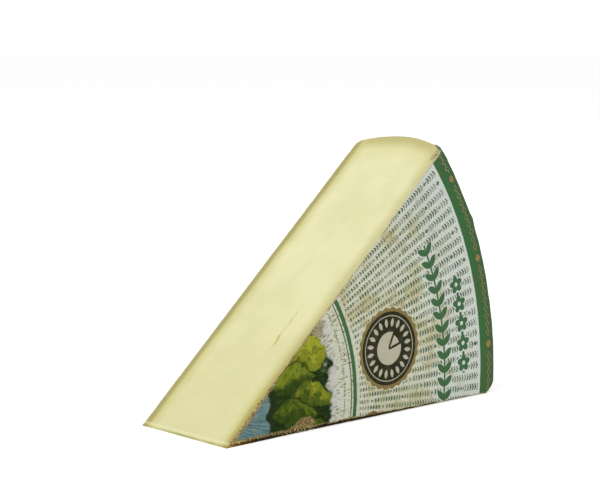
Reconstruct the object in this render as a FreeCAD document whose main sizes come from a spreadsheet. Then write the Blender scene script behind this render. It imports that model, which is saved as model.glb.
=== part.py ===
"""A wedge cut from a wheel of comte cheese, standing on its lower cut.

The wheel is a flat drum with round shoulders and a heel that bulges a little. Two straight
cuts, which meet beside the wheel's axis, take the wedge out of it. A sheet of printed paper
is glued on one flat face and folded over that face's shoulder onto the heel.

Row frame: +X runs along the lower cut from the tip to the heel, +Y along the wheel's axis
from the papered face to the bare one, +Z up. The origin is the bottom centre of the wedge.
Lengths are in millimetres and angles in degrees.
"""
import FreeCAD
import Part
import Sketcher
import math
import os

SIZES = [
    ("wheel_radius", 316.0, "wheel's axis to the middle of the bulging heel"),
    ("wheel_thick", 100.0, "one flat face to the other"),
    ("heel_bulge", 10.0, "how far the heel's middle stands out past its edges"),
    ("shoulder_radius", 9.0, "round between a flat face and the heel"),
    ("wedge_angle", 41.8, "angle between the two cuts"),
    ("axis_back", 12.7, "wheel's axis behind the tip, along the lower cut"),
    ("axis_above", 21.4, "wheel's axis above the lower cut"),
    ("paper_thick", 0.4, "paper with its glue"),
    ("paper_wrap", 14.0, "how far the paper reaches down the heel from the flat face"),
    ("tip_margin", 9.0, "bare rind between the tip and the paper"),
    ("lower_margin", 2.5, "bare rind between the paper and the lower cut"),
    ("upper_margin", 2.0, "bare rind between the paper and the upper cut"),
    ("tear_start", 56.0, "tip to the near end of the torn patch, along the lower cut"),
    ("tear_length", 34.0, "length of the torn patch"),
    ("tear_height", 11.5, "height of the torn patch above the lower cut"),
]

# The torn patch's outline, as shares of its length and height, from its lower near corner.
TEAR_OUTLINE = [(0, 0), (1, 0), (0.97, 0.72), (0.85, 0.95), (0.58, 1), (0.36, 0.55), (0.12, 0.3)]

# Expressions on the sheet: where the parts stand in the row frame, and what they share.
TIP_X = "-(dims.wheel_radius - dims.axis_back) / 2"
AXIS_X = f"{TIP_X} - dims.axis_back"
BARE_FACE_Y = "(dims.wheel_thick + dims.paper_thick) / 2"
FACE_Y = f"{BARE_FACE_Y} - dims.wheel_thick"
PAPER_Y = f"{FACE_Y} - dims.paper_thick"
HEEL_RADIUS = "(dims.heel_bulge ^ 2 + (dims.wheel_thick / 2) ^ 2) / (2 * dims.heel_bulge)"
UPPER_COS = "cos(dims.wedge_angle * 1 deg)"
UPPER_SIN = "sin(dims.wedge_angle * 1 deg)"
REACH = "2 * dims.wheel_radius"

# Numbers that a sketch uses for a line's or an arc's points, and for its own axes.
START, END, CENTRE = 1, 2, 3
H_AXIS, V_AXIS = -1, -2

doc = FreeCAD.newDocument("comte_wedge")


def make_sheet():
    """The driving dimensions, one row each: name, value, meaning."""
    sheet = doc.addObject("Spreadsheet::Sheet", "dims")
    for row, (alias, amount, meaning) in enumerate(SIZES, start=1):
        sheet.set(f"A{row}", alias)
        sheet.set(f"B{row}", str(amount))
        sheet.set(f"C{row}", meaning)
        sheet.setAlias(f"B{row}", alias)
    doc.recompute()
    return sheet


def value(expression):
    """What an expression on the sheet comes to now."""
    return float(sheet.evalExpression(expression))


def make_body(name, x, y, z):
    """An empty body whose origin stands at three expressions."""
    body = doc.addObject("PartDesign::Body", name)
    body.setExpression("Placement.Base.x", x)
    body.setExpression("Placement.Base.y", y)
    body.setExpression("Placement.Base.z", z)
    return body


def make_sketch(body, name, role):
    """A sketch on one of the body's own origin planes."""
    sketch = body.newObject("Sketcher::SketchObject", name)
    plane = next(feature for feature in body.Origin.OriginFeatures if feature.Role == role)
    sketch.AttachmentSupport = [(plane, "")]
    sketch.MapMode = "FlatFace"
    return sketch


def tie(sketch, kind, *places, to):
    """Adds a dimension to a sketch and binds it to an expression on the sheet."""
    index = sketch.addConstraint(Sketcher.Constraint(kind, *places, value(to)))
    sketch.setExpression(f"Constraints[{index}]", to)


def arc(x, y, radius, start, end):
    """A sketch arc about a centre, between two angles in radians."""
    circle = Part.Circle(FreeCAD.Vector(x, y, 0), FreeCAD.Vector(0, 0, 1), radius)
    return Part.ArcOfCircle(circle, start, end)


def line(x1, y1, x2, y2):
    """A sketch line between two points."""
    return Part.LineSegment(FreeCAD.Vector(x1, y1, 0), FreeCAD.Vector(x2, y2, 0))


def make_wheel(name, y, skin):
    """A whole wheel, turned about its axis, and grown on every side by a skin.

    The half profile is a flat face, a shoulder arc, the heel's long arc, the other shoulder
    and the other face. The arcs meet in tangents, so the skin is equally thick all over."""
    thick_of = f"dims.wheel_thick + 2 * ({skin})"
    shoulder_of = f"dims.shoulder_radius + {skin}"
    heel_of = f"{HEEL_RADIUS} + {skin}"
    heel_x_of = f"dims.wheel_radius - {HEEL_RADIUS}"

    thick, shoulder, heel, heel_x = map(value, (thick_of, shoulder_of, heel_of, heel_x_of))
    rise = thick / 2 - shoulder
    shoulder_x = heel_x + math.sqrt((heel - shoulder) ** 2 - rise ** 2)
    turn = math.asin(rise / (heel - shoulder))
    quarter = math.pi / 2

    body = make_body(name, AXIS_X, y, "dims.axis_above")
    sketch = make_sketch(body, f"{name}_profile", "XY_Plane")
    sketch.addGeometry([
        line(0, 0, shoulder_x, 0),
        arc(shoulder_x, shoulder, shoulder, -quarter, -turn),
        arc(heel_x, thick / 2, heel, -turn, turn),
        arc(shoulder_x, thick - shoulder, shoulder, turn, quarter),
        line(shoulder_x, thick, 0, thick),
        line(0, thick, 0, 0),
    ], False)
    front, low_arc, heel_arc, high_arc, back, axis = range(6)
    for constraint in (
        ("Coincident", front, START, H_AXIS, START),
        ("Horizontal", front),
        ("Tangent", front, END, low_arc, START),
        ("Tangent", low_arc, END, heel_arc, START),
        ("Tangent", heel_arc, END, high_arc, START),
        ("Tangent", high_arc, END, back, START),
        ("Equal", low_arc, high_arc),
        ("Horizontal", back),
        ("PointOnObject", back, END, V_AXIS),
        ("Coincident", back, END, axis, START),
        ("Coincident", axis, END, front, START),
    ):
        sketch.addConstraint(Sketcher.Constraint(*constraint))
    tie(sketch, "DistanceY", axis, END, axis, START, to=thick_of)
    tie(sketch, "Radius", low_arc, to=shoulder_of)
    tie(sketch, "Radius", heel_arc, to=heel_of)
    tie(sketch, "DistanceX", H_AXIS, START, heel_arc, CENTRE, to=heel_x_of)

    turned = body.newObject("PartDesign::Revolution", f"{name}_turned")
    turned.Profile = sketch
    turned.ReferenceAxis = (sketch, ["V_Axis"])
    turned.Angle = 360
    body.Tip = turned
    return body


def make_prism(name, x, y, z, corners, depth):
    """A block of constant outline, from a plane at y towards +Y for a depth.

    Each corner is a pair of expressions, its distance in X and Z from the body's origin."""
    body = make_body(name, x, y, z)
    sketch = make_sketch(body, f"{name}_outline", "XZ_Plane")
    points = [(value(across), value(up)) for across, up in corners]
    sides = range(len(corners))
    following = [*sides[1:], 0]
    sketch.addGeometry([line(*points[i], *points[following[i]]) for i in sides], False)
    for i in sides:
        sketch.addConstraint(Sketcher.Constraint("Coincident", i, END, following[i], START))
    for i, (across, up) in enumerate(corners):
        tie(sketch, "DistanceX", H_AXIS, START, i, START, to=across)
        tie(sketch, "DistanceY", H_AXIS, START, i, START, to=up)
    pad = body.newObject("PartDesign::Pad", f"{name}_pad")
    pad.Profile = sketch
    pad.Reversed = True
    pad.setExpression("Length", depth)
    body.Tip = pad
    return body


def combine(kind, name, base, tool):
    """A boolean of two shapes: Part::Common or Part::Cut."""
    made = doc.addObject(kind, name)
    made.Base = base
    made.Tool = tool
    return made


def make_cheese(wheel):
    """The cheese itself, rind and all: the wheel between the two cuts."""
    corners = [
        ("0", "0"),
        (REACH, "0"),
        (f"{REACH} * {UPPER_COS}", f"{REACH} * {UPPER_SIN}"),
    ]
    block = make_prism("cut_block", TIP_X, PAPER_Y, "0", corners, f"{BARE_FACE_Y} - ({PAPER_Y})")
    return combine("Part::Common", "cheese", wheel, block)


def make_label(wheel):
    """The paper: a skin on the flat face and its shoulder, trimmed short of the tip and of
    both cuts, with a patch torn off beside the lower cut."""
    grown = make_wheel("grown_wheel", PAPER_Y, "dims.paper_thick")
    skin = combine("Part::Cut", "paper_skin", grown, wheel)

    upper_gap = f"dims.upper_margin / {UPPER_COS}"
    corners = [
        ("dims.tip_margin", "dims.lower_margin"),
        (REACH, "dims.lower_margin"),
        (REACH, f"{REACH} * {UPPER_SIN} / {UPPER_COS} - {upper_gap}"),
        ("dims.tip_margin", f"dims.tip_margin * {UPPER_SIN} / {UPPER_COS} - {upper_gap}"),
    ]
    reach_down = "dims.paper_thick + dims.paper_wrap"
    block = make_prism("paper_block", TIP_X, PAPER_Y, "0", corners, reach_down)
    sheet_of_paper = combine("Part::Common", "sheet_of_paper", skin, block)

    outline = [(f"{u} * dims.tear_length", f"{v} * dims.tear_height") for u, v in TEAR_OUTLINE]
    near_end = f"{TIP_X} + dims.tear_start"
    torn = make_prism("torn_patch", near_end, PAPER_Y, "0", outline, reach_down)
    return combine("Part::Cut", "label", sheet_of_paper, torn)


def check(parts):
    """Stops the build if any object failed, or a part is not one valid closed solid."""
    for item in doc.Objects:
        if "Invalid" in item.State or "Error" in item.State:
            raise RuntimeError(f"{item.Name} failed: {item.State}")
    for part in parts:
        shape = part.Shape
        if shape.isNull() or not shape.isValid() or len(shape.Solids) != 1:
            raise RuntimeError(f"{part.Label} is not one valid solid")


sheet = make_sheet()
wheel = make_wheel("wheel", FACE_Y, "0")
parts = [make_cheese(wheel), make_label(wheel)]
doc.recompute()
check(parts)

os.makedirs("parts", exist_ok=True)
for part in parts:
    part.Shape.exportStep(f"parts/{part.Label}.step")
    box = part.Shape.optimalBoundingBox()
    print(f"{part.Label}: {part.Shape.Volume / 1000:.1f} cm3, "
          f"X {box.XMin:.2f} to {box.XMax:.2f}, Y {box.YMin:.2f} to {box.YMax:.2f}, "
          f"Z {box.ZMin:.2f} to {box.ZMax:.2f}")
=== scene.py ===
"""A wedge of comte standing on its lower cut, with printed paper glued on one flat face."""
import bmesh
import bpy
import math
import numpy as np
from functools import reduce
from itertools import product
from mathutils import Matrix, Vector
from mathutils.bvhtree import BVHTree


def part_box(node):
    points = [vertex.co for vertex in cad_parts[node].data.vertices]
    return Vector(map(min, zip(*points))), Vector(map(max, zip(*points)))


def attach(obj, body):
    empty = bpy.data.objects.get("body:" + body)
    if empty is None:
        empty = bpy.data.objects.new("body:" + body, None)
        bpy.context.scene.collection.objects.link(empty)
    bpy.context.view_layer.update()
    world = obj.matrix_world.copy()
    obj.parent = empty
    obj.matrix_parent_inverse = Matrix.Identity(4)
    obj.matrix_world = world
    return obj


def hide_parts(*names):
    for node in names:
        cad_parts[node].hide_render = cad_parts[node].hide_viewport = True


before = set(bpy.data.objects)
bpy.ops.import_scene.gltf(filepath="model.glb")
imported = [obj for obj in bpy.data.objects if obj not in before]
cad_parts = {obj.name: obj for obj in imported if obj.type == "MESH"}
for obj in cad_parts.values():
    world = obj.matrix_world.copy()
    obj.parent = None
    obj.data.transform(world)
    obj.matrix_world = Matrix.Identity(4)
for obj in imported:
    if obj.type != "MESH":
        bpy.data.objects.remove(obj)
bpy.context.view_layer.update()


# ---- The cheese --------------------------------------------------------------------------
# A firm pressed cheese, cut out of a big round wheel with a wire. The two cuts are smooth
# and pale. The flat faces and the heel keep their thin, crusty brown rind.

MM = 0.001
low, high = (np.array(corner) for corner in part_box("cheese"))
AXIS_BACK, AXIS_ABOVE = 12.7 * MM, 21.4 * MM     # the wheel's axis, behind and above the tip
HEEL_BULGE, SHOULDER = 10.0 * MM, 9.0 * MM       # how far the heel bulges; shoulder's radius
TIP_X, FACE_Y = low[0], low[1]
THICK, HEIGHT = high[1] - low[1], high[2]
AXIS_X, AXIS_Z = TIP_X - AXIS_BACK, AXIS_ABOVE
WHEEL = high[0] - AXIS_X                         # radius of the wheel, at the heel's middle
WEDGE = math.atan2(HEIGHT, math.sqrt(WHEEL ** 2 - (HEIGHT - AXIS_ABOVE) ** 2) - AXIS_BACK)

# The heel's arc and the shoulders' arcs are centred HEEL_X and SHOULDER_X from the wheel's
# axis. They touch at an angle of LEAN from the wheel's middle plane.
HEEL = (HEEL_BULGE ** 2 + (THICK / 2) ** 2) / (2 * HEEL_BULGE)
HEEL_X = WHEEL - HEEL
SHOULDER_X = HEEL_X + math.sqrt((HEEL - SHOULDER) ** 2 - (THICK / 2 - SHOULDER) ** 2)
LEAN = math.asin((THICK / 2 - SHOULDER) / (HEEL - SHOULDER))

EDGE_ROUND, NOSE_ROUND = 0.5 * MM, 0.7 * MM
CRACK_FROM, CRACK_TO, CRACK_DEPTH = 90 * MM, 141 * MM, 28 * MM


def lumps(points, size, seed):
    """Smooth chance heights from -1 to 1: a random number at each corner of a cubic lattice,
    blended across each cell by the smooth step 3t^2 - 2t^3 along all three directions."""
    spot = np.asarray(points, float) / size
    cell = np.floor(spot).astype(np.int64)
    part = spot - cell
    part = part * part * (3 - 2 * part)
    total = np.zeros(spot.shape[:-1])
    for corner in product((0, 1), repeat=3):
        key = ((cell + corner) * (73856093, 19349663, 83492791)).sum(-1) + seed * 26544357
        key = (key ^ (key >> 13)) * 1274126177 & 0x7FFFFFFF
        key = (key ^ (key >> 15)) * 668265263 & 0x7FFFFFFF
        weight = np.where(corner, part, 1 - part).prod(-1)
        total += weight * (((key >> 8) & 0xFFFF) / 32767.5 - 1)
    return total


def ripple(along, size, seed):
    """The same smooth chance heights, along one direction only."""
    return lumps(np.stack([along, 0 * along, 0 * along], -1), size, seed)


def slope(value, start, length):
    """0 up to the start, then a straight rise to 1 over a length."""
    return np.clip((value - start) / length, 0, 1)


def hump(value, middle, width):
    """A soft hump that is 1 at its middle: e to the power of -((value - middle) / width)^2."""
    return np.exp(-((value - middle) / width) ** 2)


def graded(length, fine, coarse):
    """Places from 0 to a length: the steps start fine at both ends and grow to coarse."""
    steps = np.minimum(fine * 1.35 ** np.arange(600), coarse)
    steps = steps[np.cumsum(steps) < length / 2]
    steps = np.concatenate([steps, steps[::-1]])
    return np.concatenate([[0], np.cumsum(steps)]) * length / steps.sum()


def reach(fan, radius):
    """How far a ray from the tip, at a fan angle above the lower cut, runs to a circle of
    the radius round the wheel's axis: sqrt(r^2 - b^2 - a^2 + p^2) - p, p being the axis's
    distance back along the ray."""
    back = AXIS_BACK * np.cos(fan) - AXIS_ABOVE * np.sin(fan)
    return np.sqrt(radius ** 2 - AXIS_BACK ** 2 - AXIS_ABOVE ** 2 + back ** 2) - back


def place(fan, distance, depth):
    """Points at a fan angle and distance from the tip, and a depth from the near flat face."""
    fan, distance, depth = np.broadcast_arrays(fan, distance, depth)
    return np.stack([TIP_X + distance * np.cos(fan), FACE_Y + depth, distance * np.sin(fan)], -1)


def below_cut(x, z):
    """How far a point lies below the upper cut, square to it: its distance past the tip times
    the wedge's sine, less its height times the cosine."""
    return (x - TIP_X) * math.sin(WEDGE) - z * math.cos(WEDGE)


def rim(depth):
    """The wheel's radius at a depth: a quarter-round shoulder, then the heel's long arc."""
    near = THICK / 2 - np.abs(depth - THICK / 2)
    shoulder = SHOULDER_X + np.sqrt(np.maximum(SHOULDER ** 2 - (SHOULDER - near) ** 2, 0))
    heel = HEEL_X + np.sqrt(HEEL ** 2 - (THICK / 2 - near) ** 2)
    return np.where(near < THICK / 2 - HEEL * math.sin(LEAN), shoulder, heel)


def under_rind(points):
    """Distance of points below the rind, and the rind's outward direction there: the nearest
    of the flat face, the shoulder's arc and the heel's arc."""
    x, y, z = points.T
    across, up, depth = x - AXIS_X, z - AXIS_Z, y - FACE_Y
    side = np.where(depth < THICK / 2, -1.0, 1.0)
    near = THICK / 2 - np.abs(depth - THICK / 2)
    radius = np.hypot(across, up)
    past, short = radius - SHOULDER_X, SHOULDER - near
    from_heel = np.hypot(radius - HEEL_X, THICK / 2 - near)
    from_shoulder = np.maximum(np.hypot(past, short), 1e-9)
    on_shoulder = (past > 0) & (short > past * math.tan(LEAN))
    on_heel = ~on_shoulder & (HEEL - from_heel < near)
    below = np.where(on_shoulder, SHOULDER - from_shoulder, np.minimum(near, HEEL - from_heel))
    outward = np.where(on_shoulder, past / from_shoulder, (radius - HEEL_X) / from_heel)
    sideways = np.where(on_shoulder, short / from_shoulder, (THICK / 2 - near) / from_heel)
    flat = ~on_shoulder & ~on_heel
    outward, sideways = np.where(flat, 0, outward), np.where(flat, 1, sideways)
    normal = np.stack([outward * across / radius, sideways * side, outward * up / radius], -1)
    return np.maximum(below, 0), normal


def wear_back(points):
    """How wear has moved the heel's corner on the labelled side, for each point: towards the
    wheel's axis by 6 mm at the floor, nothing from 8.5 mm up, by 1.5 mm at the upper cut,
    nothing from 40 mm below it, and in a long dent 170 mm up. It sets in across the shoulder
    and fades on the heel."""
    x, y, z = np.moveaxis(points, -1, 0)
    out, up = x - AXIS_X, z - AXIS_Z
    radius = np.hypot(out, up)
    by_floor = (1 - slope(z, 0, 8.5 * MM)) ** 1.2
    by_top = 1 - slope(below_cut(x, z), 0, 40 * MM)
    dent = hump(z, 170 * MM, 26 * MM)
    across = slope(radius, SHOULDER_X - 4 * MM, 9 * MM) * (1 - slope(y, FACE_Y, 45 * MM))
    amount = (6 * by_floor + 1.5 * by_top + 1.3 * dent) * across * MM
    return np.stack([out, 0 * out, up], -1) * (-amount / radius)[..., None]


def cells(rows, columns):
    """The four corners of each cell in a grid of points, as numbers of points, going round."""
    index = np.arange(rows * columns).reshape(rows, columns)
    corners = index[:-1, :-1], index[1:, :-1], index[1:, 1:], index[:-1, 1:]
    return np.stack(corners, -1).reshape(-1, 4)


def new_mesh(name, patches):
    """One mesh from grids of points (rows x columns x 3), each with its material's number.
    Points that meet are merged, and the faces turned outwards."""
    points, faces, numbers, first = [], [], [], 0
    for grid, number in patches:
        points.append(grid.reshape(-1, 3))
        faces.append(first + cells(*grid.shape[:2]))
        numbers.append(np.full(len(faces[-1]), number))
        first += len(points[-1])
    mesh = bpy.data.meshes.new(name)
    mesh.from_pydata(np.concatenate(points), [], np.concatenate(faces).tolist())
    mesh.polygons.foreach_set("material_index", np.concatenate(numbers).astype(np.int32))
    work = bmesh.new()
    work.from_mesh(mesh)
    bmesh.ops.remove_doubles(work, verts=work.verts, dist=0.001 * MM)
    bmesh.ops.recalc_face_normals(work, faces=work.faces)
    work.to_mesh(mesh)
    work.free()
    return mesh


def read_points(mesh):
    """The mesh's vertices as an array of rows x, y, z."""
    flat = np.empty(len(mesh.vertices) * 3, np.float32)
    mesh.vertices.foreach_get("co", flat)
    return flat.reshape(-1, 3).astype(float)


def store(mesh, name, numbers):
    """Keeps a number for each of the mesh's points, which a material can read."""
    kept = mesh.attributes.new(name, "FLOAT", "POINT")
    kept.data.foreach_set("value", numbers.astype(np.float32).ravel())


def new_piece(name, mesh, materials):
    """A smooth-shaded object of the mesh, which rides on the one body."""
    piece = bpy.data.objects.new(name, mesh)
    bpy.context.scene.collection.objects.link(piece)
    for material in materials:
        mesh.materials.append(material)
    mesh.shade_smooth()
    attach(piece, "root")
    return piece


def cheese_patches():
    """The whole rind as a fan of profiles that turn about the tip, and the two cuts as grids
    from the tip to the rim. All three share their edges' points. The steps are fine at the
    edges and round the crack, and coarse between."""
    finest, coarsest, band_from, band_to = 0.15 * MM, 2.2 * MM, 24, 32
    fans = WEDGE * graded(1, 0.0012, 0.012)
    shares = graded(1, 0.0008, 0.0095)
    cracked = np.arange(0.27, 0.46, 0.0032)
    before, after = shares[shares < cracked[0]], shares[shares > cracked[-1] + 0.002]
    shares = np.concatenate([before, cracked, after])
    depths = np.concatenate([
        graded(band_from * MM, finest, coarsest),
        np.linspace(band_from, band_to, 27)[1:-1] * MM,
        band_to * MM + graded(THICK - band_to * MM, finest, coarsest),
    ])
    flat = shares[:, None] * reach(fans, SHOULDER_X)
    heel = reach(fans, rim(depths)[1:-1, None])
    along = np.concatenate([flat, heel, flat[::-1]])
    deep = np.concatenate([np.zeros(len(shares)), depths[1:-1], np.full(len(shares), THICK)])
    skin = place(fans, along, deep[:, None])
    cuts = [place(fan, shares[:, None] * reach(fan, rim(depths)), depths) for fan in (0, WEDGE)]
    return [(skin, 1), (cuts[0], 0), (cuts[1], 0)]


def crack_at(along, depth):
    """How open the drying crack is, 0 to 1: a crooked, broken line across the upper cut,
    whose width swells from nothing at its ends to a millimetre near its lower third."""
    middle = 0.7 * MM * ripple(along, 11 * MM, 41) + 0.8 * MM * ripple(along, 3.4 * MM, 42)
    middle += CRACK_DEPTH
    share = slope(along, CRACK_FROM, CRACK_TO - CRACK_FROM)
    width = (0.3 + 0.7 * hump(share, 0.25, 0.25)) * np.sin(np.pi * share) ** 0.4
    width *= MM * np.clip(0.85 + 0.9 * ripple(along, 3.1 * MM, 43), 0.42, 1.3)
    return np.where(width > 0, hump(depth, middle, np.maximum(width, 1e-6)), 0)


def shape_cheese(mesh):
    """Wears the sharp solid into a real cut: a blunt nose, rounded and crumbling edges, long
    wire waves on the cuts, a crack, and the rind's dents and grain. Nothing moves outwards."""
    points = read_points(mesh)
    tip = np.array([TIP_X, 0, 0])
    below, rind_way = under_rind(points)
    upper_way = np.array([-math.sin(WEDGE), 0, math.cos(WEDGE)])
    lower_way = np.array([0, 0, -1.0])
    from_upper, from_lower = (tip - points) @ upper_way, (tip - points) @ lower_way
    upper = from_upper < from_lower
    inside = np.maximum(np.minimum(from_upper, from_lower), 0)
    cut_way = np.where(upper[:, None], upper_way, lower_way)
    along = np.hypot(points[:, 0] - TIP_X, points[:, 2])
    depth = points[:, 1] - FACE_Y

    # The nose: near the tip, points go onto a circle that both cuts touch.
    nose = NOSE_ROUND * (1 + 0.25 * lumps(points * (0, 1, 0), 11 * MM, 3))
    back = nose / math.tan(WEDGE / 2)
    middle = np.stack([TIP_X + back, 0 * nose, nose], -1)
    spoke = (points - middle) * (1, 0, 1)
    length = np.linalg.norm(spoke, axis=1)
    blunt = (along < back)[:, None]
    cut_way = np.where(blunt, spoke / length[:, None], cut_way)
    moved = np.where(blunt, spoke * (nose / length - 1)[:, None], 0)

    # The edges between cut and rind: points near both go onto a small circle, a wider one
    # where paper was pulled off, along the label's side and most of all at its shoulder.
    pulled = np.where(upper, hump(depth, 0, 6 * MM), 0)
    radius = np.hypot(points[:, 0] - AXIS_X, points[:, 2] - AXIS_Z)
    corner_worn = hump(radius, SHOULDER_X + 4 * MM, 8 * MM)
    crumble = np.maximum(lumps(points, 5 * MM, 5) - 0.3, 0) + 0.45 * lumps(points, 1.3 * MM, 6)
    edge = EDGE_ROUND * (1 + pulled * (1.1 + 2.5 * corner_worn)) * np.clip(1 + crumble, 0.3, 3)
    near_rind, near_cut = np.maximum(edge - below, 0), np.maximum(edge - inside, 0)
    corner = np.maximum(np.hypot(near_rind, near_cut), 1e-9)
    scale = np.where((near_rind > 0) & (near_cut > 0), np.minimum(edge / corner, 1) - 1, 0)
    moved += rind_way * (near_rind * scale)[:, None] + cut_way * (near_cut * scale)[:, None]

    # The cuts sink in long waves, fine wire lines and the crack; the rind in dents and grain.
    waves = 0.25 + 0.16 * lumps(points, 48 * MM, 7) + 0.05 * lumps(points, 9 * MM, 8)
    waves += 0.03 * ripple(along, 2.5 * MM, 9)
    crack = np.where(upper & (inside < 1e-6), crack_at(along, depth), 0)
    arch = hump(along, 140 * MM, 90 * MM) * hump(depth, 0, 12 * MM)
    sunk = (waves + 1.1 * crack + np.where(upper, 0, 0.3 * arch)) * MM
    dents = (0.30 + 0.2 * lumps(points, 7 * MM, 10) + 0.1 * lumps(points, 2.2 * MM, 11)) * MM
    on_cut, on_rind = 1 - slope(inside, 0, 1.5 * MM), 1 - slope(below, 0, 1.5 * MM)
    moved -= cut_way * (sunk * on_cut)[:, None] + rind_way * (dents * on_rind)[:, None]

    points += moved + wear_back(points)
    points[:, 2] = np.maximum(points[:, 2], 0)
    mesh.vertices.foreach_set("co", points.astype(np.float32).ravel())
    store(mesh, "crack", crack)
    mesh.update()


class Field:
    """A number that a material works out at each point. Its operators add Math nodes."""

    def __init__(self, socket):
        self.socket = socket

    def __add__(self, other):
        return work_out("ADD", self, other)

    def __radd__(self, other):
        return work_out("ADD", other, self)

    def __sub__(self, other):
        return work_out("SUBTRACT", self, other)

    def __rsub__(self, other):
        return work_out("SUBTRACT", other, self)

    def __mul__(self, other):
        return work_out("MULTIPLY", self, other)

    def __truediv__(self, other):
        return work_out("DIVIDE", self, other)

    def __abs__(self):
        return work_out("ABSOLUTE", self)


def light(shade):
    """The light that a screen's colour stands for. Of each part c, 0 to 255 and here taken as
    a share of 255, it is c / 12.92 where c is small, and else ((c + 0.055) / 1.055)^2.4."""
    parts = (part / 255 for part in shade)
    return tuple(c / 12.92 if c < 0.04045 else ((c + 0.055) / 1.055) ** 2.4 for c in parts)


def join(value, socket):
    """Puts a Field, a socket, a number or a screen's colour into a node's input."""
    if isinstance(value, Field):
        value = value.socket
    if isinstance(value, bpy.types.NodeSocket):
        socket.id_data.links.new(value, socket)
    elif isinstance(value, tuple):
        socket.default_value = (*light(value), 1)
    else:
        socket.default_value = value


def work_out(operation, *values):
    """One Math node on Fields and numbers."""
    tree = next(value for value in values if isinstance(value, Field)).socket.id_data
    node = tree.nodes.new("ShaderNodeMath")
    node.operation = operation
    for value, socket in zip(values, node.inputs):
        join(value, socket)
    return Field(node.outputs[0])


def most(*values):
    """The largest of several Fields: what shapes given as distances have in common."""
    return reduce(lambda one, other: work_out("MAXIMUM", one, other), values)


def span(across, up):
    """How far two steps at right angles lead: the root of the sum of their squares."""
    return work_out("SQRT", across * across + up * up)


def ramp(value, start, end):
    """0 before start, 1 after end, and a smooth step between. Start may be above end."""
    node = value.socket.id_data.nodes.new("ShaderNodeMapRange")
    node.interpolation_type = "SMOOTHSTEP"
    join(value, node.inputs["Value"])
    join(min(start, end), node.inputs["From Min"])
    join(max(start, end), node.inputs["From Max"])
    join(float(start > end), node.inputs["To Min"])
    join(float(start <= end), node.inputs["To Max"])
    return Field(node.outputs["Result"])


def noise(where, size, detail=2.0, stretch=(1, 1, 1)):
    """A Noise Texture from 0 to 1, whose blotches are as large as size, times the stretch."""
    nodes = where.id_data.nodes
    mapping = nodes.new("ShaderNodeMapping")
    mapping.inputs["Scale"].default_value = [1 / (size * factor) for factor in stretch]
    join(where, mapping.inputs["Vector"])
    node = nodes.new("ShaderNodeTexNoise")
    node.inputs["Scale"].default_value = 1
    node.inputs["Detail"].default_value = detail
    join(mapping.outputs[0], node.inputs["Vector"])
    return Field(node.outputs["Fac"])


def paint(under, *coats):
    """Lays coats over a colour, the lowest first: by turns a coat's colour and its cover. A
    coat hides what is under it where its cover is 1."""
    for over, cover in zip(coats[::2], coats[1::2]):
        node = cover.socket.id_data.nodes.new("ShaderNodeMix")
        node.data_type = "RGBA"
        join(cover, node.inputs["Factor"])
        join(under, node.inputs["A"])
        join(over, node.inputs["B"])
        under = node.outputs["Result"]
    return under


def new_material(name, **settings):
    """A material and its one Principled shader, with the settings put on its own sockets."""
    material = bpy.data.materials.new(name)
    material.use_nodes = True
    shader = material.node_tree.nodes["Principled BSDF"]
    for key, setting in settings.items():
        shader.inputs[key.replace("_", " ")].default_value = setting
    return material, shader


def finish(shader, body, height, depth):
    """Gives the shader its colour and its relief: a height from 0 to 1, for a depth in metres."""
    join(body, shader.inputs["Base Color"])
    node = shader.id_data.nodes.new("ShaderNodeBump")
    node.inputs["Distance"].default_value = depth
    join(height, node.inputs["Height"])
    join(node.outputs["Normal"], shader.inputs["Normal"])


def split(vector):
    """A vector socket's three numbers, as Fields."""
    parts = vector.id_data.nodes.new("ShaderNodeSeparateXYZ")
    join(vector, parts.inputs[0])
    return [Field(output) for output in parts.outputs]


def object_place(shader):
    """The point's place in the object, as a vector socket and as three Fields."""
    where = shader.id_data.nodes.new("ShaderNodeTexCoord").outputs["Object"]
    return where, *split(where)


def attribute(shader, name):
    """One of the mesh's own numbers."""
    node = shader.id_data.nodes.new("ShaderNodeAttribute")
    node.attribute_name = name
    return Field(node.outputs["Fac"])


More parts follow.
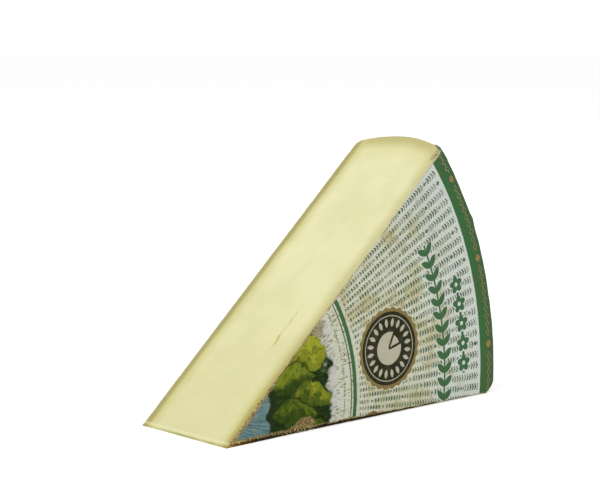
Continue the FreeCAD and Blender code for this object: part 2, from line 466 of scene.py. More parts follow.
def paste_material():
    """The cut cheese: pale cream yellow, a little uneven, with painted shade towards its lower
    end. Towards the rind it dries to olive and tan, and inside the crack ochre. Along the floor
    runs a golden line of painted shade under a pale painted highlight."""
    material, shader = new_material(
        "cheese_paste", Roughness=0.42, Subsurface_Weight=0.18, Subsurface_Scale=0.004,
        Subsurface_Radius=(1.0, 0.75, 0.35))
    where, x, y, z = object_place(shader)
    from_near, from_far, from_middle = y - FACE_Y, FACE_Y + THICK - y, y - (FACE_Y + THICK / 2)
    radius = span(x - AXIS_X, z - AXIS_Z)
    from_heel = WHEEL - from_middle * from_middle / (2 * HEEL) - radius
    broad, fine = noise(where, 0.035), noise(where, 0.004, 3)
    wobble = (broad - 0.5) * 0.012 + (fine - 0.5) * 0.0015
    crumbs = (fine - 0.5) * 0.0012
    blots = ramp(noise(where, 0.012, 3), 0.56, 0.75)
    body = paint(
        (231, 227, 174),
        (238, 234, 183), ramp(broad, 0.35, 0.65),
        (222, 215, 161), blots * 0.25,
        # painted shade: darker towards the lower end of the cut, where less light falls
        (218, 213, 156), ramp(z + wobble, 0.14, 0.01) * 0.65)

    # Towards the heel the paste dries out, most of all in the corner by the label.
    corner = ramp(from_heel + wobble, 0.055, 0.015) * ramp(from_near + wobble * 0.5, 0.018, 0.006)
    body = paint(
        body,
        (230, 223, 160), ramp(from_heel + wobble * 0.4, 0.030, 0.012) * 0.6,
        (192, 183, 110), ramp(from_heel + wobble * 0.4, 0.0165, 0.003) * 0.9,
        (203, 195, 128), corner * 0.6,
        (196, 188, 150), ramp(from_heel + crumbs, 0.0026, 0.001) * 0.8)

    # Under the two flat faces' rinds it turns olive, then tan, with a paler line at the edge.
    tipward = ramp(x, 0.04, -0.145)
    tipward = tipward * tipward
    dry = paint((206, 201, 140), (205, 199, 122), tipward)
    edge = ramp(from_near + crumbs, 0.002, 0.0005)
    body = paint(
        body,
        (209, 202, 128), ramp(from_far + wobble * 0.4, 0.018, 0.005) * 0.9,
        (163, 154, 84), ramp(from_far + wobble * 0.2, 0.0092, 0.0035) * 0.9,
        (196, 190, 152), ramp(from_far + crumbs, 0.0022, 0.001) * 0.8,
        dry, ramp(from_near + wobble * 0.3, 0.0145, 0.0035) * 0.8,
        (174, 157, 72), ramp(from_near + wobble * 0.2, 0.0075, 0.0015) * (0.1 + tipward * 0.8),
        (158, 140, 74), edge * tipward * 0.7,
        (214, 210, 172), edge * (0.6 - tipward * 0.6))

    # The torn corner at the shoulder is drab pink, with brown crumbs pressed in. Along the floor
    # runs a golden line of painted shade, for the contact shadow and the glow through the cheese,
    # under a pale painted highlight on the rounded foot.
    flecked = paint((211, 195, 150), (160, 138, 90), ramp(noise(where, 0.0016, 2), 0.52, 0.62))
    torn = ramp(from_near + (fine - 0.5) * 0.006, 0.0085, 0.006)
    torn = torn * ramp(radius, SHOULDER_X - 0.009, SHOULDER_X - 0.004)
    golden = ramp(z, 0.0019, 0.0010) * (0.85 - ramp(broad, 0.4, 0.6) * 0.4)
    golden = golden * (1 - ramp(from_far, 0.035, 0.015) * 0.5)
    body = paint(
        body,
        flecked, torn * 0.9,
        (246, 242, 210), ramp(noise(where, 0.0022, 1), 0.74, 0.82) * 0.4,
        (243, 239, 186), ramp(abs(z - 0.0028), 0.0011, 0.0003) * 0.4,
        (158, 146, 52), golden,
        (196, 182, 92), attribute(shader, "crack") * 0.9)

    wire = noise(where, 0.0016, 2, stretch=(1, 30, 1))
    finish(shader, body, wire * 0.5 + fine * 0.35 + noise(where, 0.0009, 2) * 0.15, 0.00025)
    return material


def rind_material():
    """The rind: dry, grainy and brown, with darker patches and a pale bloom. Where paper came
    off it is raw and beige. Along the floor runs a dark line of painted shadow, golden by
    the tip."""
    material, shader = new_material("cheese_rind", Roughness=0.8, Specular_IOR_Level=0.1)
    where, x, y, z = object_place(shader)
    patches, grain = noise(where, 0.016, 4), noise(where, 0.0013, 3)
    broad, pores = noise(where, 0.07, 2), noise(where, 0.0034, 4)
    cloth = noise(where, 0.0011, 1, stretch=(1, 6, 1))
    boards = noise(where, 0.0045, 2, stretch=(60, 1, 1))
    body = paint(
        (150, 120, 70),
        (182, 154, 100), ramp(broad, 0.36, 0.64),
        (134, 106, 62), ramp(patches, 0.5, 0.68) * 0.5,
        (202, 182, 134), ramp(pores, 0.56, 0.68) * 0.5,
        (104, 80, 46), ramp(pores, 0.42, 0.32) * 0.6,
        (212, 198, 158), ramp(grain, 0.56, 0.7) * 0.5,
        (88, 66, 38), ramp(grain, 0.42, 0.3) * 0.5,
        (112, 88, 52), ramp(boards, 0.54, 0.66) * ramp(y, 0.04, 0.049) * 0.3)

    # Bare of paper it is raw: browner low down, pale and golden along the upper cut.
    low_raw = paint(
        (140, 112, 60),
        (176, 152, 92), ramp(grain, 0.44, 0.62),
        (156, 112, 54), ramp(patches, 0.5, 0.64) * 0.6,
        (78, 58, 28), ramp(grain, 0.43, 0.33) * 0.8)
    high_raw = paint(
        (182, 162, 96),
        (226, 208, 148), ramp(grain, 0.46, 0.6),
        (134, 106, 52), ramp(grain, 0.44, 0.34) * 0.8,
        (222, 214, 168), ramp(x, -0.05, 0.08) * 0.6)
    by_cut = ramp(below_cut(x, z) + (patches - 0.5) * 0.006, 0.012, 0.006)
    raw = paint(low_raw, high_raw, by_cut)

    # The painted shadow along the floor is 2.9 mm high by the tip on the labelled side and
    # thins towards the heel.
    painted_foot_shadow = paint(
        (38, 28, 9),
        (118, 84, 28), ramp(x, TIP_X + 0.036, TIP_X + 0.012),
        (180, 150, 52), ramp(x, TIP_X + 0.013, TIP_X + 0.005))
    share = most((x - TIP_X) / 0.27, 0.0)
    height = 0.0029 - work_out("POWER", share, 2.6) * 0.0027
    height = height + ramp(abs(x - (TIP_X + 0.093)), 0.03, 0.008) * 0.0008
    height = height * (0.4 + ramp(y, FACE_Y + 0.02, FACE_Y + 0.006) * 0.6)
    height = height + (patches - 0.5) * 0.0009
    body = paint(
        body,
        raw, ramp(y, FACE_Y + 0.013, FACE_Y + 0.008),
        painted_foot_shadow, ramp(z - height, 0.0005, -0.0004) * 0.97)
    finish(shader, body, grain * 0.6 + cloth * 0.4, 0.0008)
    return material


cheese_mesh = new_mesh("cheese_wedge", cheese_patches())
shape_cheese(cheese_mesh)
cheese = new_piece("cheese_wedge", cheese_mesh,
                   [paste_material(), rind_material()])
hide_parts("cheese")


# ---- Crumbs of rind ----------------------------------------------------------------------
# The wire broke the rind along its way, and paper pulled grains off with it. Loose crumbs of
# cheese and rind, half a millimetre to a millimetre wide, stick where the rind is bare.

PATCH_FROM, PATCH_TO, PATCH_HIGH = 56 * MM, 90 * MM, 11.5 * MM    # where paper came off


def crumb_spots(chance):
    """Places that crumbs stick to: on the labelled face a band under the upper cut, thinner
    away from the tip, a band over the painted shadow along the floor and the bare patch, and
    on the cut its torn corner at the shoulder."""
    by_tip, beyond, at_corner, at_foot, on_patch = 520, 170, 90, 300, 230
    spread = chance.random

    def on_face(across, up):
        """Points on the labelled face, a distance past the tip and above the floor."""
        return np.stack([TIP_X + across, np.full(len(across), FACE_Y), up], -1)

    cos, sin = math.cos(WEDGE), math.sin(WEDGE)
    along = np.concatenate([3 + 78 * spread(by_tip) ** 0.9, 60 + 150 * spread(beyond)]) * MM
    under = np.where(along < 75 * MM, 3.6, 1.1) * MM * spread(len(along)) ** 1.3
    band = on_face(along * cos + under * sin, along * sin - under * cos)
    past, depth = (7 - 10 * spread(at_corner)) * MM, (2 + 6 * spread(at_corner)) * MM
    corner = place(WEDGE, SHOULDER_X + past, depth)
    foot = on_face((4 + 130 * spread(at_foot) ** 1.4) * MM, (2.5 + 1.8 * spread(at_foot)) * MM)
    patch = on_face(PATCH_FROM + (PATCH_TO - PATCH_FROM) * spread(on_patch),
                    1 * MM + PATCH_HIGH * spread(on_patch) * 0.85)
    return np.concatenate([band, corner, foot, patch])


def crumb_mesh():
    """Every crumb is a knocked-about icosahedron, set on the nearest point of the cheese and
    sunk in by a third. Its tint, 0 cream to 1 brown, is the mesh's own number."""
    chance = np.random.default_rng(12)
    work = bmesh.new()
    bmesh.ops.create_icosphere(work, subdivisions=1, radius=1)
    ball = np.array([vertex.co for vertex in work.verts])
    ball_faces = np.array([[vertex.index for vertex in face.verts] for face in work.faces])
    work.free()

    found = [cheese_surface.find_nearest(spot) for spot in crumb_spots(chance).tolist()]
    seat, outward = (np.array([hit[i] for hit in found]) for i in (0, 1))
    count = len(seat)
    size = (0.24 + 0.34 * chance.random(count) ** 2) * MM
    stretch = 0.7 + 0.6 * chance.random((count, 1, 3))
    knocks = 1 + 0.5 * (chance.random((count, len(ball), 1)) - 0.5)
    points = ball * knocks * stretch * size[:, None, None]
    points += (seat + outward * (size * 0.3)[:, None])[:, None]
    points[..., 2] = np.maximum(points[..., 2], 0)
    faces = ball_faces + (np.arange(count) * len(ball))[:, None, None]
    mesh = bpy.data.meshes.new("rind_crumbs")
    mesh.from_pydata(points.reshape(-1, 3), [], faces.reshape(-1, 3).tolist())
    store(mesh, "tint", np.repeat(chance.random(count), len(ball)))
    return mesh


def crumb_material():
    """Dry crumbs, from cream cheese through tan to brown rind."""
    material, shader = new_material("rind_crumbs", Roughness=0.75, Specular_IOR_Level=0.25)
    where = object_place(shader)[0]
    tint = attribute(shader, "tint") + (noise(where, 0.0006, 2) - 0.5) * 0.3
    body = paint(
        (230, 216, 166),
        (194, 170, 108), ramp(tint, 0.3, 0.55),
        (122, 92, 48), ramp(tint, 0.72, 0.88))
    join(body, shader.inputs["Base Color"])
    return material


cheese_surface = BVHTree.FromPolygons(
    read_points(cheese_mesh).tolist(), [tuple(face.vertices) for face in cheese_mesh.polygons])
new_piece("rind_crumbs", crumb_mesh(), [crumb_material()])


# ---- The paper label ---------------------------------------------------------------------
# A round sheet of thin paper, printed in greens and gold, glued on the wheel's flat face and
# folded over the shoulder onto the heel. The wire tore its edges, and a patch came off.

PAPER_THICK = 0.4 * MM
PAPER_TIP = 9 * MM
RING, BORDER, SEAL = 145.3, 288.5, 32.5    # radii of the bold ring, the border, the seal, in mm
WRAP = 19.5 * MM                           # length folded over, past the flat face's edge
TEAR_SHARES = np.array([0, 0.12, 0.36, 0.58, 0.85, 0.97, 1])
TEAR_LENGTHS = PATCH_FROM + (PATCH_TO - PATCH_FROM) * TEAR_SHARES
TEAR_HEIGHTS = PATCH_HIGH * np.array([0, 0.3, 0.55, 1, 0.95, 0.72, 0])


def over_shoulder(length, lift):
    """Radius and depth of a point that lies a length past the flat face's edge: along the
    shoulder's arc and then the heel's, at a lift off the rind."""
    bend = SHOULDER * (math.pi / 2 - LEAN)
    turn = np.minimum(length, bend) / SHOULDER
    swing = LEAN - np.maximum(length - bend, 0) / HEEL
    on_shoulder = length < bend
    radius = np.where(on_shoulder, SHOULDER_X + (SHOULDER + lift) * np.sin(turn),
                      HEEL_X + (HEEL + lift) * np.cos(swing))
    depth = np.where(on_shoulder, SHOULDER - (SHOULDER + lift) * np.cos(turn),
                     THICK / 2 - (HEEL + lift) * np.sin(swing))
    return radius, depth


def low_margin(along):
    """Height of the paper's lower edge above the lower cut: 4.3 mm by the tip, falling ever
    faster to the floor near the heel, with the torn patch, a nick, a frayed line and the
    border's corner, which stands a little off the floor."""
    bare = 0.25 * MM + 4.1 * MM * np.maximum(1 - (along / (290 * MM)) ** 1.5, 0)
    torn = np.interp(along, TEAR_LENGTHS, TEAR_HEIGHTS)
    nick = 1.8 * MM * hump(along, 152 * MM, 5 * MM)
    corner = 1.3 * MM * slope(along, 284 * MM, 4 * MM)
    fray = 0.4 * MM * ripple(along, 4.5 * MM, 21) + 0.25 * MM * ripple(along, 1.4 * MM, 22)
    return np.maximum(np.maximum(bare, torn) + nick + corner + fray, 0.1 * MM)


def high_margin(along):
    """Gap between the paper's upper edge and the upper cut: widest by the tip, and below
    nothing near the heel, where the paper stands up free of the cut. At the shoulder it has
    a small notch and then a tongue, and further down the heel it doesn't stand up."""
    bare = 0.8 * MM + 2.9 * MM * (1 - slope(along, 30 * MM, 45 * MM))
    free = 2.2 * MM * slope(along, 170 * MM, 80 * MM)
    notch = 0.3 * MM * hump(along, 298 * MM, 6 * MM)
    tongue = 2.0 * MM * slope(along, 306 * MM, 3.5 * MM)
    stands = 1 - slope(along, 318 * MM, 4 * MM)
    fray = 0.4 * MM * ripple(along, 5 * MM, 23) + 0.3 * MM * ripple(along, 1.3 * MM, 24)
    return bare - (free + tongue) * stands + notch + fray


def label_grid():
    """The sheet's outer side as rows from edge to edge and columns from tip to heel, and for
    each point its print place (radius and turn) and its distance from the nearest edge."""
    step, wrap_columns = 0.85 * MM, 24
    flat_share = np.append(np.arange(PAPER_TIP, SHOULDER_X, step) / SHOULDER_X, 1)
    wrap_steps = np.linspace(0, WRAP, wrap_columns + 1)[1:]
    across = graded(1, 0.002, 0.022)[:, None]

    def ends(fan):
        """Distance from the tip at every column, along one cut's ray."""
        flat = flat_share * reach(fan, SHOULDER_X)
        return np.concatenate([flat, flat[-1] + wrap_steps])

    lowest, highest = ends(0), ends(WEDGE)
    low_fan = np.arcsin(np.minimum(low_margin(lowest) / lowest, 0.5))
    high_fan = WEDGE - np.arcsin(np.minimum(high_margin(highest) / highest, 0.5))
    fans = np.maximum(low_fan + (high_fan - low_fan) * across, low_fan)

    end = WRAP * (1 + 0.05 * ripple(fans * 0.3, 9 * MM, 25) + 0.03 * ripple(fans * 0.3, 2 * MM, 26))
    end = np.minimum(end, 1.5 * MM + fans * SHOULDER_X)
    past = np.concatenate([np.zeros(len(flat_share)), wrap_steps / WRAP]) * end
    columns = np.broadcast_to(np.arange(len(lowest)), fans.shape)
    rough = np.stack([fans * 0.15, past, columns * MM], -1)
    lift = 0.1 * MM * lumps(rough, 7 * MM, 27) + 0.04 * MM * lumps(rough, 2.2 * MM, 28)

    # Where the flat sheet folds over the round shoulder, it gathers in small pleats. Its lower
    # end is clipped slantwise, and stands off the heel.
    pleats = np.maximum(ripple(fans * 0.3, 7 * MM, 29), 0) * 0.9 + 2.4 * hump(fans, 0.50, 0.016)
    pleats += 3.0 * (1 - slope(fans, 0, 0.28)) ** 0.7
    lift += PAPER_THICK + pleats * 0.45 * MM * slope(past, 0, 9 * MM)

    radius, depth = over_shoulder(past, lift)
    flat = columns < len(flat_share)
    shares = np.concatenate([flat_share, np.ones(len(wrap_steps))])
    distance = np.where(flat, shares * reach(fans, SHOULDER_X), reach(fans, radius))
    grid = place(fans, distance, np.where(flat, -lift, depth))
    grid += wear_back(grid)

    # On the shoulder the free upper edge is folded over, down onto the cut.
    cos, sin = math.cos(WEDGE), math.sin(WEDGE)
    above = -below_cut(grid[..., 0], grid[..., 2])
    fold = np.maximum(above - 0.4 * MM, 0) * slope(past, 3 * MM, 3 * MM)
    grid -= fold[..., None] * np.array([cos - 0.9 * sin, 0, sin + 0.9 * cos])

    out, up = grid[..., 0] - AXIS_X, grid[..., 2] - AXIS_Z
    print_radius = np.where(flat, np.hypot(out, up), SHOULDER_X + past)
    turn = np.degrees(np.arctan2(up, out))
    clean = 1 + 5 * slope(past, 1 * MM, 2 * MM)
    edge = np.minimum((fans - low_fan) * distance, (high_fan - fans) * distance * clean)
    edge = np.minimum(edge, np.minimum(distance - PAPER_TIP, end - past))
    return grid, print_radius / MM, turn, edge


def least(*values):
    """The smallest of several Fields: the union of shapes given as distances."""
    return reduce(lambda one, other: work_out("MINIMUM", one, other), values)


def repeat(value, pitch):
    """How far a value lies past the middle of its repeat, when each is a pitch long."""
    return (work_out("FRACT", value / pitch) - 0.5) * pitch


def ink(distance, soft=0.3):
    """How much ink lies where a shape's distance is given in mm: 1 inside, 0 outside."""
    return ramp(distance, soft / 2, -soft / 2)


def rows_of_sprigs(radius, turn):
    """Fine print between the rings: straight rows that run out from the wheel's centre, each
    a chain of herringbone sprigs with a small lozenge between them. Distances in mm."""
    pitch, leaflet, sprig, gap = 1.83, 2.95, 34.0, 4.6
    arc = radius * math.radians(1)
    side = abs(repeat(turn, pitch) * arc)
    along = radius + work_out("FLOOR", turn / pitch) * 12.7
    half = arc * (pitch * 0.3)
    leaf = most(abs(repeat(along + side * 0.5, leaflet)) - leaflet * 0.26, side - half)
    spot = work_out("FRACT", along / sprig) * sprig
    chain = most(least(leaf, side - 0.2), gap - spot)
    lozenge = abs(spot - gap / 2) + side - half * 0.8
    return most(least(chain, lozenge), RING + 5 - radius, radius - (BORDER - 2.6))


def fine_marks(radius, turn):
    """A ring of marks as small as type, in groups, between the bold ring and the painting."""
    pitch, group = 0.66, 6.2
    arc = radius * math.radians(1)
    number = work_out("FLOOR", turn / pitch)
    size = work_out("FRACT", work_out("SINE", number * 7.7) * 31.3)
    across = abs(repeat(turn, pitch)) * arc
    mark = most(across - 0.42, abs(radius - (RING - 11.2)) - 0.55 - size * 0.5)
    space = work_out("FRACT", turn / group) * group - (group - 1.0)
    return most(mark, space * arc)


def leaf_garland(radius, turn):
    """A bold garland along an arc: a stem with almond leaves that lean out in pairs."""
    middle, pitch, first, last = 246.0, 2.62, -5.5, 26.4
    length, width = 6.6, 2.7
    arc = radius * math.radians(1)
    across, side = repeat(turn, pitch) * arc, abs(radius - middle)
    along_leaf = (across + side) * 0.707 - 3.9
    off_leaf = (side - across) * 0.707 - 1.5
    leaf = abs(off_leaf) - width + along_leaf * along_leaf * (width / length ** 2)
    ends = most((first - turn) * arc, (turn - last) * arc)
    return most(least(leaf, side - 0.9), ends)


def flower_chain(radius, turn):
    """Round five-petalled flowers in a row, with a bead between each two."""
    middle, pitch, first, last = 268.5, 3.55, 0.0, 17.75
    arc = radius * math.radians(1)
    across, up = repeat(turn - first, pitch) * arc, radius - middle
    out = span(across, up)
    petals = abs(work_out("COSINE", work_out("ARCTAN2", up, across) * 2.5))
    flower = most(out - 4.4 - petals * 3.0, 1.8 - out)
    bead = span(abs(across) - arc * (pitch / 2), up) - 1.5
    ends = most((first - turn) * arc, (turn - last) * arc)
    return most(least(flower, bead), ends)


def seal_place(radius, turn):
    """Distance and angle from the middle of the round seal."""
    middle_radius, middle_turn = 185.0, math.radians(9.8)
    angle = turn * math.radians(1)
    across = radius * work_out("COSINE", angle) - middle_radius * math.cos(middle_turn)
    up = radius * work_out("SINE", angle) - middle_radius * math.sin(middle_turn)
    return span(across, up), work_out("ARCTAN2", up, across)


def round_seal(out, around, edge, smudge, under):
    """The seal, from its wavy gold edge inwards: a dark disc, a fine ring, twenty almonds and
    a wheel with a slice that is drawn out of it."""
    dark = paint((52, 54, 36), (70, 71, 54), ramp(smudge, 0.45, 0.65))
    cream = (222, 216, 190)
    across = abs(repeat(around, math.tau / 20)) * out
    almond = across - 1.7 + (out - 20.6) * (out - 20.6) * 0.13
    slice_out = (abs(around - 0.7) - 0.42) * out
    wheel = least(most(out - 13.2, 1.5 - slice_out), most(out - 11.2, slice_out + 0.6, 0.9 - out))
    return paint(
        under,
        (160, 138, 84), ink(edge),
        dark, ink(out - 29.4),
        cream, ink(abs(out - 26.0) - 0.35) * 0.9,
        cream, ink(almond) * 0.9,
        cream, ink(wheel) * 0.95)


def painted_middle(radius, turn, where, print_place, under):
    """The sheet's middle, in loose water colour: a streaky blue disc in a dark wavy edge,
    and round it two rings of leaves over a dark ground, which fades out in soft blots."""
    drift, sway = noise(where, 0.024, 2), noise(where, 0.030, 2)
    daub, dabs, tooth = noise(where, 0.0075, 4), noise(where, 0.0026, 3), noise(where, 0.0014, 3)
    streaks = noise(print_place, 1, 3, stretch=(16, 1.5, 1))
    radius = radius + (drift - 0.5) * 22 + (daub - 0.5) * 5
    turn = turn + (sway - 0.5) * 18 + (daub - 0.5) * 3
    sunny = ramp(turn, 6, 22)
    pitch = 19

    def ring(shift, inner, outer, width, dark, fair):
        """Distance to a ring of leaves, and their paint: darker at the foot and on one half,
        with a fine dark rib and veins. Each leaf has a tone of its own."""
        cell = turn / pitch + shift
        number = work_out("FLOOR", cell)
        across = (cell - number - 0.5) * radius * math.radians(pitch)
        share = least(most((radius - inner) / (outer - inner), 0.0), 1.0)
        half = work_out("SINE", work_out("POWER", share, 0.75) * math.pi) * width
        tone = work_out("FRACT", work_out("SINE", number * 12.9 + 1) * 43.7)
        lit = tone * 0.3 + share * 0.5 + sunny * 0.9 - 0.08 + (daub - 0.5) * 1.7
        leaf = paint(
            dark,
            fair, least(most(lit, 0.0), 1.0),
            dark, ramp(across + (daub - 0.5) * 8, 0.8, -2.5) * (0.8 - sunny * 0.4),
            (30, 50, 16), ink(abs(across) - 0.45, 1.4) * 0.4,
            dark, ink(abs(repeat(share * 40 - abs(across), 6.5)) - 0.4, 1.4) * 0.3)
        return abs(across) - half, leaf

    back, back_leaf = ring(0.3, 76, 127, 13, (76, 100, 30), (188, 192, 58))
    front, front_leaf = ring(0.8, 62, 104, 10.5, (48, 76, 24), (144, 158, 46))
    leaves = paint(
        (32, 52, 20),
        (52, 84, 40), ramp(daub, 0.46, 0.64),
        back_leaf, ramp(back, 1.0, -0.8),
        (34, 52, 20), ramp(front, 5.5, 0.8) * 0.75,
        front_leaf, ramp(front, 0.8, -0.6),
        (34, 54, 20), ramp(dabs, 0.52, 0.66) * 0.55,
        (140, 152, 52), ramp(dabs, 0.4, 0.28) * 0.25)
    blue = paint(
        (98, 136, 142),
        (134, 162, 160), ramp(streaks, 0.4, 0.58),
        (190, 200, 192), ramp(streaks + (daub - 0.5) * 0.5, 0.62, 0.78) * 0.7,
        (66, 98, 104), ramp(streaks, 0.4, 0.28) * 0.75,
        (88, 108, 76), ramp(daub, 0.56, 0.7) * 0.4)
    shore = radius - abs(work_out("SINE", turn * math.radians(180 / pitch) + 0.6)) * 3.5
    body = paint(
        leaves,
        (44, 58, 28), ramp(shore, 63, 60.5),
        blue, ramp(shore, 55.5, 53.5),
        (40, 48, 26), ramp(tooth, 0.6, 0.74) * 0.4,
        (184, 188, 140), ramp(tooth, 0.34, 0.26) * 0.2)
    return paint(
        under,
        (168, 184, 150), ramp(radius + (daub - 0.5) * 16, 128, 119) * 0.3,
        body, ramp(radius + (daub - 0.5) * 12, 121.5, 117.5))


def label_material():
    """Matte paper with its print, its grease stains and rubbed spots, and torn pale edges."""
    material, shader = new_material("printed_paper", Roughness=0.7, Specular_IOR_Level=0.05)
    where, _, _, z = object_place(shader)
    print_map = shader.id_data.nodes.new("ShaderNodeUVMap")
    print_map.uv_map = "print"
    print_place = print_map.outputs[0]
    radius, turn, _ = split(print_place)
    fibres, blotch = noise(where, 0.0012, 4), noise(where, 0.022, 3)
    smudge = noise(where, 0.006, 4)

    # Grease has turned the paper beige in cloudy patches, and handling has scratched it.
    worn_zone = ramp(radius, 285, 235) * ramp(radius, 140, 152)
    grease = ramp(blotch + (smudge - 0.5) * 0.4, 0.46, 0.66) * worn_zone
    drawn_out = noise(print_place, 1, 3, stretch=(1.5, 4.5, 1)) + (smudge - 0.5) * 0.3
    smears = ramp(drawn_out, 0.58, 0.68) * worn_zone * ramp(blotch, 0.40, 0.54)
    scratches = ramp(noise(print_place, 1, 2, stretch=(5.0, 0.55, 1)), 0.51, 0.62)
    scratched = ramp(noise(where, 0.012, 2), 0.35, 0.51) * ramp(radius, 153, 143)
    flecks = ramp(noise(where, 0.0028, 2), 0.62, 0.7)
    paper = paint(
        (247, 253, 243),
        (236, 242, 230), ramp(fibres, 0.4, 0.65),
        (242, 242, 214), ramp(radius, 256, 211) * 0.75,
        (238, 234, 234), ramp(radius, 134, 122) * 0.7,
        (212, 204, 142), grease * 0.65,
        (178, 162, 88), smears * 0.6,
        (148, 140, 84), scratches * scratched * 0.85,
        (162, 140, 72), flecks * ramp(smudge, 0.45, 0.6) * worn_zone * 0.7)

    # The rings and the fine print stop short of the bold ornaments.
    green = (73, 120, 75)
    garland, flowers = leaf_garland(radius, turn), flower_chain(radius, turn)
    out, around = seal_place(radius, turn)
    seal = out - SEAL - work_out("COSINE", around * 26) * 0.7
    clear_of = least(garland - 1.0, flowers - 1.0, seal - 1.0)
    rings = least(abs(radius - RING) - 1.85, abs(radius - (RING - 3.9)) - 0.55)
    worn = 0.6 + ramp(smudge, 0.62, 0.4) * 0.4
    body = paint(
        paper,
        (86, 112, 80), ink(most(rows_of_sprigs(radius, turn), 0 - clear_of)) * worn,
        green, ink(least(garland, flowers)) * 0.98,
        green, ink(rings) * 0.98,
        (92, 104, 88), ink(fine_marks(radius, turn)) * worn)
    body = round_seal(out, around, seal, smudge, body)
    body = painted_middle(radius, turn, where, print_place, body)

    # A rubbed spot by the upper cut, where the paint is scraped off in streaks.
    rubbed = abs(radius - 120) / 9 + abs(turn - 28.5) / 4.2 + (smudge - 0.5) * 1.2
    streaky = paint(
        (168, 154, 112),
        (206, 200, 172), ramp(fibres, 0.42, 0.6),
        (138, 118, 76), scratches * 0.6)
    body = paint(body, streaky, ramp(rubbed, 1.15, 0.85) * 0.9)

    # The green border lies on the shoulder. Folded over the heel, it is creased and rubbed
    # pale, and grease has darkened it in places.
    folded = ramp(radius, BORDER + 13, BORDER + 19)
    creases = abs(noise(print_place, 1, 3, stretch=(14, 0.9, 1)) - 0.5)
    creased = ramp(creases, 0.03, 0.006) * folded
    edge_green = paint(
        (73, 126, 75),
        (82, 121, 74), ramp(blotch, 0.42, 0.6),
        (86, 112, 76), ramp(radius, BORDER + 5, BORDER + 9) * 0.55,
        (60, 98, 60), ramp(blotch, 0.5, 0.36) * folded * 0.6,
        (116, 144, 104), ramp(smudge, 0.52, 0.7) * folded * 0.55,
        (150, 168, 134), creased * 0.45)

    # Along its middle runs a thin gold chain of links and beads, with larger gold lozenges.
    step, lozenge_step = 1.3, 14.3
    arc = radius * math.radians(1)
    across, up = abs(repeat(turn, step) * arc), abs(radius - (BORDER + 10.2))
    link = abs(across * 0.85 + up * 0.85 - 2.0) - 0.42
    bead = abs(across - arc * (step / 2)) + up - 0.85
    wide = abs(repeat(turn - 3.9 + lozenge_step / 2, lozenge_step) * arc)
    chain = most(least(link, bead), 6.2 - wide)
    gold = paint((174, 154, 98), (178, 176, 130), ramp(turn, 22, 34))
    body = paint(
        body,
        edge_green, ink(BORDER - radius + (smudge - 0.5) * 0.6),
        gold, ink(chain, 0.4) * (0.5 + ramp(fibres, 0.3, 0.6) * 0.4),
        (188, 150, 94), ink(wide * 0.8 + up * 0.95 - 3.1, 0.4) * 0.85)

    # Rubbed and torn edges show bare paper, browned by the rind near the tip; near the floor
    # the same brown is painted shade under the paper's lower edge.
    bare = ramp(attribute(shader, "edge") * 1000 + (fibres - 0.5) * 2.2, 0.9, 0.15)
    dingy = paint((186, 166, 116), (208, 194, 164), ramp(radius, 170, 230))
    torn = paint(
        (226, 220, 186),
        dingy, ramp(smudge, 0.45, 0.65),
        (160, 140, 88), most(ramp(radius, 135, 120), ramp(z, 0.022, 0.012)) * 0.85)
    body = paint(body, torn, bare * 0.85)
    finish(shader, body, fibres * 0.6 + smudge * 0.4 + creased * 0.8, 0.00035)
    return material


def paper_back_material():
    """The paper's bare inner side and its torn rim: off-white, with beige glue in blotches."""
    material, shader = new_material("paper_back", Roughness=0.75, Specular_IOR_Level=0.2)
    where, x = object_place(shader)[:2]
    glue, fibres = noise(where, 0.006, 3), noise(where, 0.0012, 4)
    body = paint(
        (226, 220, 204),
        (206, 196, 172), ramp(fibres, 0.4, 0.65),
        (184, 164, 120), ramp(glue, 0.46, 0.62) * (0.7 - ramp(x, 0.0, 0.04) * 0.4),
        (166, 148, 98), ramp(x, -0.045, -0.065) * 0.85)
    finish(shader, body, fibres, 0.0003)
    return material


grid, print_radius, turn, edge = label_grid()
label_mesh = bpy.data.meshes.new("paper_label")
corners = cells(*grid.shape[:2])[:, [0, 3, 2, 1]]    # turned round, so that they face outwards
label_mesh.from_pydata(grid.reshape(-1, 3), [], corners.tolist())
print_map = label_mesh.uv_layers.new(name="print")
print_places = np.stack([print_radius, turn], -1).reshape(-1, 2)[corners.ravel()]
print_map.data.foreach_set("uv", print_places.astype(np.float32).ravel())
store(label_mesh, "edge", edge)
label = new_piece("paper_label", label_mesh,
                  [label_material(), paper_back_material()])
thickness = label.modifiers.new("thickness", "SOLIDIFY")
thickness.thickness = PAPER_THICK + 0.1 * MM
thickness.offset = -1
thickness.material_offset = 1
thickness.material_offset_rim = 1
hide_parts("label")


# ---- Floor and backdrop ------------------------------------------------------------------
# A wide, plain, pale floor, and a white room round it. Seen straight on the floor is nearly
# white, because it glows a little, but it keeps the wedge's soft shadow.

FLOOR_RADIUS, FLOOR_GREY, FLOOR_GLOW = 6, 0.85, 0.55
SKY = 0.5    # strength of the room's light, which shows as pure white


def seen_straight(tree):
    """1 for what the eye sees, also by reflection or through glass, and 0 for the light that
    falls on things."""
    path = tree.nodes.new("ShaderNodeLightPath")
    rays = "Is Camera Ray", "Is Glossy Ray", "Is Transmission Ray"
    return most(*(Field(path.outputs[name]) for name in rays))


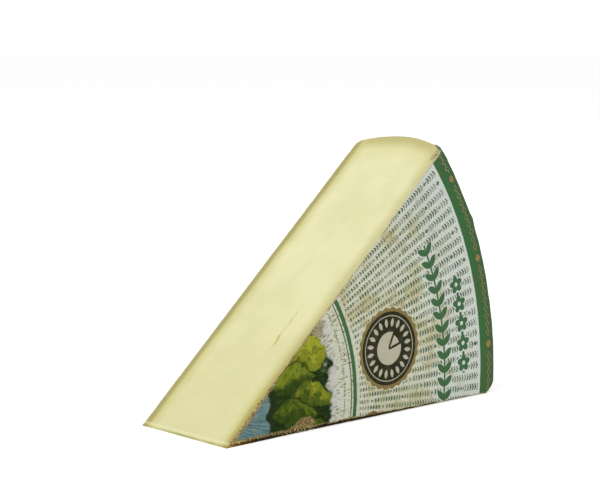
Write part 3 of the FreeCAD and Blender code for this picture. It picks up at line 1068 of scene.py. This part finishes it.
bpy.ops.mesh.primitive_circle_add(vertices=96, radius=FLOOR_RADIUS, fill_type="NGON")
floor = bpy.context.object
floor.name = "floor"
floor_material = bpy.data.materials.new("pale_floor")
floor_material.use_nodes = True
tree = floor_material.node_tree
tree.nodes.clear()
output = tree.nodes.new("ShaderNodeOutputMaterial")
lit = tree.nodes.new("ShaderNodeBsdfDiffuse")
lit.inputs["Color"].default_value = (FLOOR_GREY, FLOOR_GREY, FLOOR_GREY, 1)
glow = tree.nodes.new("ShaderNodeEmission")
join(seen_straight(tree) * FLOOR_GLOW, glow.inputs["Strength"])
both = tree.nodes.new("ShaderNodeAddShader")
join(lit.outputs[0], both.inputs[0])
join(glow.outputs[0], both.inputs[1])
join(both.outputs[0], output.inputs["Surface"])
floor.data.materials.append(floor_material)

world = bpy.data.worlds.new("studio")
bpy.context.scene.world = world
world.use_nodes = True
tree = world.node_tree
tree.nodes.clear()
output = tree.nodes.new("ShaderNodeOutputWorld")
background = tree.nodes.new("ShaderNodeBackground")
background.inputs["Color"].default_value = (1, 1, 1, 1)
join(SKY + seen_straight(tree) * (1 - SKY), background.inputs["Strength"])
join(background.outputs[0], output.inputs["Surface"])


# ---- Lamps -------------------------------------------------------------------------------
# Two plain white soft boxes: a large key lamp above and to the left of the camera, which
# lights the cut, and a weak one behind on the right, which keeps the rind from going black.

def soft_lamp(name, spot, power, size):
    """A square area lamp at a spot, which looks at the wedge's middle."""
    data = bpy.data.lights.new(name, "AREA")
    data.energy = power
    data.size = size
    lamp = bpy.data.objects.new(name, data)
    bpy.context.scene.collection.objects.link(lamp)
    lamp.location = spot
    towards = Vector((0, 0, 0.1)) - lamp.location
    lamp.rotation_euler = towards.to_track_quat("-Z", "Y").to_euler()


soft_lamp("key", (-1.7, -0.25, 1.7), 26, 1.3)
soft_lamp("rim", (1.8, 1.4, 1.3), 12, 1.2)


# ---- Camera ------------------------------------------------------------------------------
# A long lens, a metre and a half away and a little above the wedge. It stands between the
# nose and the labelled face, so that the label and the upper cut both show.

AZIMUTH, ELEVATION, DISTANCE = math.radians(-42.465), math.radians(7.966), 1.552
LOOK_AT = -0.0390, -0.0086, 0.1392

camera_data = bpy.data.cameras.new("camera")
camera_data.lens = 120
camera_data.sensor_width = 36
camera = bpy.data.objects.new("camera", camera_data)
bpy.context.scene.collection.objects.link(camera)
back = Vector((math.sin(AZIMUTH) * math.cos(ELEVATION),
               -math.cos(AZIMUTH) * math.cos(ELEVATION), math.sin(ELEVATION)))
camera.location = Vector(LOOK_AT) + back * DISTANCE
camera.rotation_euler = (-back).to_track_quat("-Z", "Y").to_euler()
bpy.context.scene.camera = camera
bpy.context.scene.view_settings.view_transform = "Standard"
